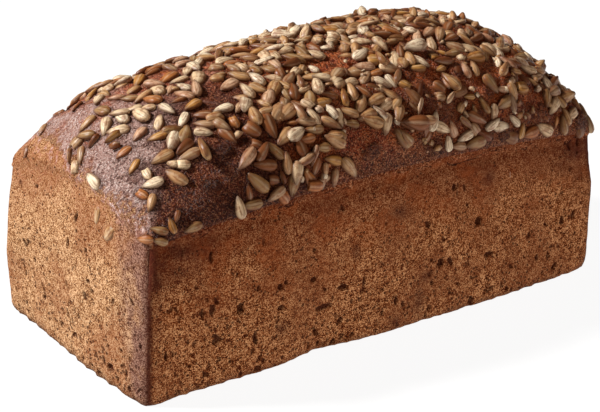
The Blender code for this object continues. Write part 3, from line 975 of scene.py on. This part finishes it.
def kernel_blank():
    """A sphere shaped into a kernel of length 1: pointed at -X, blunt at +X, flattened."""
    clear_selection()
    bpy.ops.mesh.primitive_uv_sphere_add(segments=8, ring_count=7, radius=0.5)
    blank = bpy.context.object
    bpy.ops.object.mode_set(mode="EDIT")
    bpy.ops.mesh.select_all(action="SELECT")
    bpy.ops.transform.rotate(value=math.pi / 2, orient_axis="Y", center_override=(0, 0, 0))
    bpy.ops.object.mode_set(mode="OBJECT")
    co = np.array([v.co for v in blank.data.vertices])
    share = np.clip(co[:, 0] + 0.5, 0, 1)
    around = np.arctan2(co[:, 2], co[:, 1])
    fullness = share**0.58 * np.sqrt(np.clip(1 - share**3.6, 0, 1))
    fullness /= fullness.max()
    up = np.sin(around)
    co[:, 1] = KERNEL_WIDTH / 2 * fullness * np.cos(around)
    co[:, 2] = KERNEL_THICKNESS / 2 * fullness**0.8 * np.sign(up) * np.abs(up) ** 0.85
    blank.data.vertices.foreach_set("co", co.astype(np.float32).ravel())
    blank.data.update()
    return blank


def chip_blank():
    """A small flat shard of unit length."""
    clear_selection()
    bpy.ops.mesh.primitive_ico_sphere_add(subdivisions=1, radius=0.5)
    blank = bpy.context.object
    bpy.ops.object.mode_set(mode="EDIT")
    bpy.ops.mesh.select_all(action="SELECT")
    bpy.ops.transform.resize(value=(1, 0.72, 0.42))
    bpy.ops.object.mode_set(mode="OBJECT")
    return blank


def broken(co):
    """A kernel's points with the pointed half snapped off."""
    cut = co.copy()
    past = cut[:, 0] < SNAPPED_AT
    cut[past, 0] = SNAPPED_AT - 0.06 * np.abs(cut[past, 1]) / 0.2
    return cut


def strewn(name, blank, laid, draw, material, shape=None, ragged=0.010):
    """One mesh of copies of a blank, each copy uneven in its own way, with its own tone."""
    rest = np.array([v.co for v in blank.data.vertices])
    faces = [tuple(f.vertices) for f in blank.data.polygons]
    uvs = np.array([tuple(loop.uv) for loop in blank.data.uv_layers.active.data])
    round_off = np.hypot(rest[:, 1], rest[:, 2] * KERNEL_WIDTH / KERNEL_THICKNESS)
    flank = np.abs(rest[:, 1]) / np.maximum(round_off, 1e-6)
    if shape:
        rest = shape(rest)
    points, all_faces, per_kernel = [], [], []
    for number, kernel in enumerate(laid):
        wide, high, bend = draw.uniform(0.86, 1.14), draw.uniform(0.85, 1.2), draw.uniform(-0.10, 0.10)
        dent = draw.uniform(0, 0.05)
        co = rest * (1, wide, high)
        co[:, 1] += bend * (co[:, 0] ** 2 - 0.1)
        co[:, 2] -= dent * np.exp(-((co[:, 1] / 0.09) ** 2)) * (co[:, 2] > 0)
        jitter = np.array([[draw.uniform(-1, 1) for _ in range(3)] for _ in range(len(co))])
        co = (co + ragged * jitter) * kernel["length"]
        turned = np.array(kernel["matrix"].to_3x3()) @ co.T
        points.append(turned.T + np.array(kernel["matrix"].translation))
        all_faces += [tuple(i + number * len(rest) for i in f) for f in faces]
        per_kernel.append((kernel["tone"] + draw.uniform(-0.035, 0.035), draw.random()))
    mesh = bpy.data.meshes.new(name)
    mesh.from_pydata(np.concatenate(points).tolist(), [], all_faces)
    mesh.update()
    layer = mesh.uv_layers.new(name="UVMap")
    layer.data.foreach_set("uv", np.tile(uvs, (len(laid), 1)).astype(np.float32).ravel())
    tone, kind = np.repeat(np.array(per_kernel), len(rest), axis=0).T
    give_attribute(mesh, "tone", tone)
    give_attribute(mesh, "kind", kind)
    give_attribute(mesh, "share", np.tile(rest[:, 0] + 0.5, len(laid)))
    give_attribute(mesh, "flank", np.tile(flank, len(laid)))
    mesh.materials.append(material)
    mesh.shade_smooth()
    piece = bpy.data.objects.new(name, mesh)
    bpy.context.scene.collection.objects.link(piece)
    return piece


def wall_kernels():
    """Kernels baked into the walls, nearly flush."""
    laid = []
    outward = {"front": (0, -1, 0), "back": (0, 1, 0), "near": (-1, 0, 0), "far": (1, 0, 0)}
    for wall, place, height, turn, tone in WALL_KERNELS:
        normal = Vector(outward[wall])
        u = np.array([normal.x or place * MM / (LENGTH / 2)])
        v = np.array([normal.y or place * MM / (WIDTH / 2)])
        point = Vector(wall_points(u, v, height * MM / rim(u, v))[0])
        matrix = placed(point, normal, turn, 6, 0, BAKED_IN_SIDE if normal.y else BAKED_IN_END)
        laid.append({"matrix": matrix, "length": WALL_KERNEL_LENGTH, "tone": tone})
    return laid


def add(tree, kind, inputs=(), ramp=(), out=0, **settings):
    """Adds a node with its settings and links, and gives one of its outputs. An input is (socket, value), and
    the value may be a hex colour or an output. A ramp is a row of (place, colour)."""
    made = tree.nodes.new("ShaderNode" + kind)
    for name, value in settings.items():
        setattr(made, name, value)
    for socket, value in inputs:
        if isinstance(value, bpy.types.NodeSocket):
            tree.links.new(value, made.inputs[socket])
        else:
            made.inputs[socket].default_value = srgb(value) if isinstance(value, str) else value
    if ramp:
        stops = made.color_ramp.elements
        while len(stops) < len(ramp):
            stops.new(0.5)
        for stop, (place, colour) in zip(stops, ramp):
            stop.position = place
            stop.color = srgb(colour)
    return made.outputs[out]


def share_of(tree, *steps):
    """Product of smooth steps. A step is (value, low, high), from 0 to 1, or (value, low, high, least, most).
    One that is (value,) alone is taken as it is."""
    share = None
    for value, *limits in steps:
        if limits:
            sockets = ("Value", "From Min", "From Max", "To Min", "To Max")
            given = zip(sockets, (value, *limits, 0.0, 1.0))
            value = add(tree, "MapRange", given, interpolation_type="SMOOTHSTEP")
        if share is not None:
            value = add(tree, "Math", [(0, share), (1, value)], operation="MULTIPLY")
        share = value
    return share


def summed(tree, *parts):
    """Sum of values, each times its weight."""
    total = 0.0
    for value, weight in parts:
        total = add(tree, "Math", [(0, value), (1, weight), (2, total)], operation="MULTIPLY_ADD")
    return total


def coated(tree, base, *coats):
    """Lays colours over one another, each as thick as the product of its steps."""
    for colour, *steps in coats:
        share = share_of(tree, *steps)
        base = add(tree, "Mix", [(0, share), (6, base), (7, colour)], out=2, data_type="RGBA")
    return base


def fresh_material(name):
    material = bpy.data.materials.new(name)
    material.use_nodes = True
    return material, material.node_tree, material.node_tree.nodes["Principled BSDF"]


def surfaced(tree, surface, colour, relief, strength, depth, finish):
    """Gives a surface its colour and relief, and its roughness, specular level and IOR."""
    raised = add(tree, "Bump", [("Strength", strength), ("Distance", depth), ("Height", relief)])
    tree.links.new(colour, surface.inputs["Base Color"])
    tree.links.new(raised, surface.inputs["Normal"])
    for socket, value in zip(("Roughness", "Specular IOR Level", "IOR"), finish):
        surface.inputs[socket].default_value = value


def rye_crust(name, at_dome):
    """Crust of a rye loaf. Where it met the tin it is dry, tan and grained like coarse sand, with small open
    pores and pits that are painted dark as the shade inside them, and burnt dark along the edges. The dome,
    brushed and baked open, is red-brown and glossy over fine blisters, so that it glitters pale where light
    grazes it; pale specks are painted on as glints, its ends get a pale lilac painted sheen, and painted
    shade darkens it beside the kernels and in its lowest band over each side. A dark wavy line of painted
    shade marks the crease under the rim of each side. Both have the colours of the other near the rim, and
    differ in gloss."""
    material, tree, surface = fresh_material(name)
    place = add(tree, "TexCoord", out="Object")
    wide = add(tree, "Mapping", [("Vector", place), ("Scale", (1, 0.8, 1))])
    fields = ("over", "rise", "pit", "edge", "foot", "stain", "haze", "end", "painted_kernel_shade", "scorch", "painted_end_sheen")
    over, rise, pit, edge, foot, stain, haze, at_end, painted_kernel_shade, scorch, painted_end_sheen = (
        add(tree, "Attribute", out="Fac", attribute_name=field) for field in fields
    )
    at_side = add(tree, "Math", [(0, 1.0), (1, at_end)], operation="SUBTRACT")
    # Noises: the way they are read, the size of their lumps in mm, the detail and the roughness. The finest
    # real grain, 0.1 to 0.2 mm across, is too fine to show and is drawn coarser, at 0.32
    noises = (
        (place, 28, 3, 0.5),
        (place, 13, 2, 0.5),
        (place, 9, 2, 0.5),
        (place, 7, 3, 0.6),
        (place, 2.4, 2, 0.6),
        (place, 1.1, 3, 0.7),
        (wide, 0.56, 1, 0.6),
        (wide, 0.32, 1, 0.6),
    )
    sockets = ("Vector", "Scale", "Detail", "Roughness")
    broad, patches, winding, middle, lumps, clots, grain, fine = (
        add(tree, "TexNoise", zip(sockets, (way, 1 / (size * MM), detail, rough)))
        for way, size, detail, rough in noises
    )

    # The walls
    mixed_grain = summed(tree, (grain, 0.50), (fine, 0.26), (lumps, 0.24))
    side_grain = ((0.42, "#461605"), (0.50, "#a25c30"), (0.585, "#f0b07a"))
    end_grain = ((0.40, "#54250f"), (0.48, "#a67349"), (0.61, "#ecbd90"))
    side, end = (add(tree, "ValToRGB", [("Fac", mixed_grain)], ramp) for ramp in (side_grain, end_grain))
    speckled = coated(tree, "#5c382e", ("#9c7464", (mixed_grain, 0.45, 0.58)))
    hazy = coated(tree, "#4e2216", (speckled, (at_end,)))
    hazed = share_of(tree, (haze,), (middle, 0.3, 0.7, 0.4, 0.85))
    # The pores' mask gives their dent in the relief and their painted shade
    cells = add(tree, "TexVoronoi", [("Vector", wide), ("Scale", 1 / (1.9 * MM))], out="Distance")
    pore_size = share_of(tree, (middle, 0.42, 0.62, 0.06, 0.24))
    crowded = share_of(tree, (rise, 0.8, 0.0, 0.0, 0.10))
    pores = share_of(tree, (summed(tree, (cells, 1), (pore_size, -1), (crowded, -1)), 0.08, -0.04))
    # painted shade: a dark wavy line just under the rim of each side, for the shade in the crease there
    crease_shade_line = share_of(tree, (winding, 0.3, 0.7, 0.0, 3.0))
    off_crease_shade = add(tree, "Math", [(0, summed(tree, (over, 1), (crease_shade_line, 1)))], operation="ABSOLUTE")
    wall = coated(
        tree,
        side,
        (end, (at_end,)),
        ("#8a4c2c", (broad, 0.42, 0.62, 0, 0.45)),
        ("#642610", (rise, 0.60, 0.95, 0, 0.60), (at_side,)),
        ("#96503a", (rise, 0.70, 1.0, 0, 0.30), (at_end,), (lumps, 0.45, 0.62)),
        (
            "#96400f",
            (patches, 0.48, 0.60, 0, 0.42),
            (at_side,),
            (rise, 0.25, 0.75),
            (lumps, 0.35, 0.62, 0.2, 1),
        ),
        (hazy, (hazed, 0, 1, 0, 0.9)),
        # painted shade inside the pores
        ("#42200f", (pores,), (0.78,)),
        ("#42201a", (stain,), (0.55,)),
        # painted shade inside the pits
        ("#38120a", (pit,), (0.85,)),
        ("#56261a", (edge,), (lumps, 0.3, 0.6, 0.45, 0.95)),
        ("#4a2414", (foot,), (lumps, 0.35, 0.6, 0.2, 0.75)),
        # painted shade in the crease under the rim
        ("#240a06", (off_crease_shade, 0.7, 0.2, 0, 0.9), (at_side,), (middle, 0.47, 0.53)),
    )

    # The dome: scorched towards the near corner, with a pale lilac painted sheen on its ends, and painted
    # shade beside kernels
    burnt_dome = coated(tree, "#3e120a", ("#642610", (middle, 0.35, 0.65)))
    # painted sheen: pale lilac with paler specks over the grain
    painted_sheen = coated(tree, "#bb9488", ("#ecd4ca", (grain, 0.50, 0.66)))
    top = coated(
        tree,
        "#a03c18",
        ("#c86a36", (middle, 0.35, 0.65)),
        ("#d4601e", (broad, 0.46, 0.60, 0, 0.8)),
        # painted shade: the dome's lowest band over each side is darkened
        ("#6a3a26", (over, 16, 3, 0, 0.7), (at_side,)),
        (burnt_dome, (scorch,), (0.9,)),
        ("#260b06", (clots, 0.54, 0.38, 0, 0.8)),
        ("#b47452", (clots, 0.52, 0.66, 0, 0.45)),
        ("#3a0e06", (grain, 0.48, 0.36, 0, 0.6)),
        # painted glints: pale specks on the grain, fewer where scorched
        ("#dc9c70", (grain, 0.54, 0.66), (scorch, 0, 1, 0.75, 0.35)),
        (painted_sheen, (painted_end_sheen,), (clots, 0.34, 0.56, 0.15, 1.0), (middle, 0.36, 0.52, 0.35, 1.0)),
        # painted shade beside the kernels
        ("#220904", (painted_kernel_shade,), (0.50,)),
    )

    # The rim: soft and pinkish at an end, crisp over a side
    ragged = share_of(tree, (summed(tree, (middle, 1), (lumps, 1)), 0.7, 1.3, -1.0, 1.0))
    raggedness = share_of(tree, (at_end, 0, 1, 3.2, 6.0))
    height = summed(tree, (over, 1), (ragged, raggedness))
    from_low = share_of(tree, (at_end, 0, 1, -1.6, 1.5))
    from_high = share_of(tree, (at_end, 0, 1, 2.4, 9))
    crossing = share_of(tree, (height, from_low, from_high))
    colour = coated(
        tree,
        wall,
        (top, (crossing,)),
        ("#a0604a", (crossing, 0.0, 0.35), (crossing, 1.0, 0.65), (at_end,), (0.3,)),
    )
    if at_dome:
        relief = summed(tree, (clots, 1.6), (grain, 1), (lumps, 0.9))
        surfaced(tree, surface, colour, relief, 0.95, 1.1 * MM, (0.32, 0.20, 1.45))
    else:
        relief = summed(tree, (mixed_grain, 1.5), (pores, -0.4))
        surfaced(tree, surface, colour, relief, 0.95, 0.7 * MM, (0.8, 0.05, 1.45))
    return material


def sunflower_kernel(name, glazed=False):
    """Hulled sunflower kernel, toasted: satin, ivory to golden brown with a brown tip and fine lengthwise
    furrows, a painted highlight along its top ridge, and flanks darkened partly as brown edges and partly as
    painted shade. A glazed one is under the same brown skin as the crust round it."""
    material, tree, surface = fresh_material(name)
    uv, place = (add(tree, "TexCoord", out=way) for way in ("UV", "Object"))
    fields = ("tone", "kind", "share", "flank")
    tone, kind, share, flank = (add(tree, "Attribute", out="Fac", attribute_name=field) for field in fields)
    shades = tuple((n / (len(KERNEL_SHADES) - 1), shade) for n, shade in enumerate(KERNEL_SHADES))
    stretched = add(tree, "VectorMath", [(0, uv), (1, (26, 2.2, 1))], operation="MULTIPLY")
    shifted = add(tree, "VectorMath", [(0, stretched), (1, place)], operation="ADD")
    lines = [("Vector", shifted), ("Scale", 1), ("Detail", 2), ("W", kind)]
    furrows = add(tree, "TexNoise", lines, noise_dimensions="4D")
    spots = [("Vector", place), ("Scale", 1 / (2.4 * MM)), ("Detail", 3), ("Roughness", 0.6)]
    blotch = add(tree, "TexNoise", spots)
    body = coated(
        tree,
        add(tree, "ValToRGB", [("Fac", tone)], shades),
        # painted highlight along the kernel's top ridge
        ("#f2dfc0", (flank, 0.35, 0.0, 0, 0.25)),
        ("#683a1c", (furrows, 0.52, 0.32, 0, 0.58)),
        ("#8e4c24", (blotch, 0.48, 0.64, 0, 0.55)),
        ("#5a2e16", (share, 0.38, 0.0, 0, 0.75)),
        # darker flanks: partly the kernel's brown edges, partly painted shade
        ("#66341a", (flank, 0.50, 1.0, 0, 0.75)),
    )
    if glazed:
        body = coated(tree, body, ("#5a220f", (0.60,)))
    finish = (0.32, 0.25, 1.46) if glazed else (0.38, 0.35, 1.46)
    surfaced(tree, surface, body, furrows, 0.6, 0.35 * MM, finish)
    return material


def make_camera():
    """The photograph's view."""
    spot, right, up, forward = camera_axes()
    lens = bpy.data.cameras.new("camera")
    lens.sensor_width = SENSOR
    lens.lens = FOCAL_PIXELS * SENSOR / IMAGE_WIDTH
    camera = bpy.data.objects.new("camera", lens)
    bpy.context.scene.collection.objects.link(camera)
    turned = Matrix((right, up, -forward)).transposed().to_4x4()
    camera.matrix_world = Matrix.Translation(spot) @ turned
    bpy.context.scene.camera = camera


def soft_light(name, towards, distance, size, power, colour="#ffffff"):
    """A square softbox that lies in a direction from the loaf and faces it."""
    lamp = bpy.data.lights.new(name, "AREA")
    lamp.shape = "SQUARE"
    lamp.size = size
    lamp.energy = power
    lamp.color = srgb(colour)[:3]
    light = bpy.data.objects.new(name, lamp)
    bpy.context.scene.collection.objects.link(light)
    direction = Vector(towards).normalized()
    light.location = Vector(CAMERA_TARGET) + direction * distance
    light.rotation_euler = direction.to_track_quat("Z", "Y").to_euler()


def make_studio():
    """A white sheet lit from below, a large key light from the back left, and a weak warm front fill."""
    clear_selection()
    bpy.ops.mesh.primitive_plane_add(size=12, location=(0, 0, -0.0001))
    floor = bpy.context.object
    floor.name = "floor"
    material, tree, surface = fresh_material("pale_sheet")
    surface.inputs["Base Color"].default_value = srgb("#626262")
    surface.inputs["Roughness"].default_value = 0.95
    surface.inputs["Specular IOR Level"].default_value = 0.1
    surface.inputs["Emission Color"].default_value = srgb("#ffffff")
    surface.inputs["Emission Strength"].default_value = 0.93
    floor.data.materials.append(material)
    soft_light("key", (-0.80, 0.52, 0.86), 3.2, 0.42, 150)
    soft_light("fill", (0.35, -1.0, 0.55), 3.0, 1.2, 9, "#ffc08c")
    world = bpy.data.worlds.new("studio")
    bpy.context.scene.world = world
    world.use_nodes = True
    sky = world.node_tree.nodes["Background"]
    sky.inputs["Color"].default_value = srgb("#ffffff")
    sky.inputs["Strength"].default_value = 0.06
    bpy.context.scene.view_settings.view_transform = "Standard"


def main():
    kernels, tree, places = strew_dome()
    draw = random.Random(FILL_SEED + 1)
    sorts = {kind: [k for k in kernels if k["kind"] == kind] for kind in ("whole", "snapped", "glazed")}
    walls, top = rye_crust("tin_baked_rye_crust", False), rye_crust("open_baked_rye_crust", True)
    crust = make_crust(walls, top, sorts["whole"] + sorts["snapped"], sorts["glazed"])
    plain = sunflower_kernel("sunflower_kernel")
    glossy = sunflower_kernel("glazed_kernel", glazed=True)
    blank, shard = kernel_blank(), chip_blank()
    pieces = [
        strewn("sunflower_kernels", blank, sorts["whole"], draw, plain),
        strewn("snapped_kernels", blank, sorts["snapped"], draw, plain, broken),
        strewn("glazed_kernels", blank, sorts["glazed"], draw, glossy),
        strewn("wall_kernels", blank, wall_kernels(), draw, plain),
        strewn("kernel_chips", shard, chip_places(draw, kernels, tree, places), draw, plain, ragged=0.09),
    ]
    for spare in (blank, shard):
        bpy.data.objects.remove(spare)
    for piece in [crust, *pieces]:
        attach(piece, "root")
        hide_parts("loaf")
    make_camera()
    make_studio()


main()
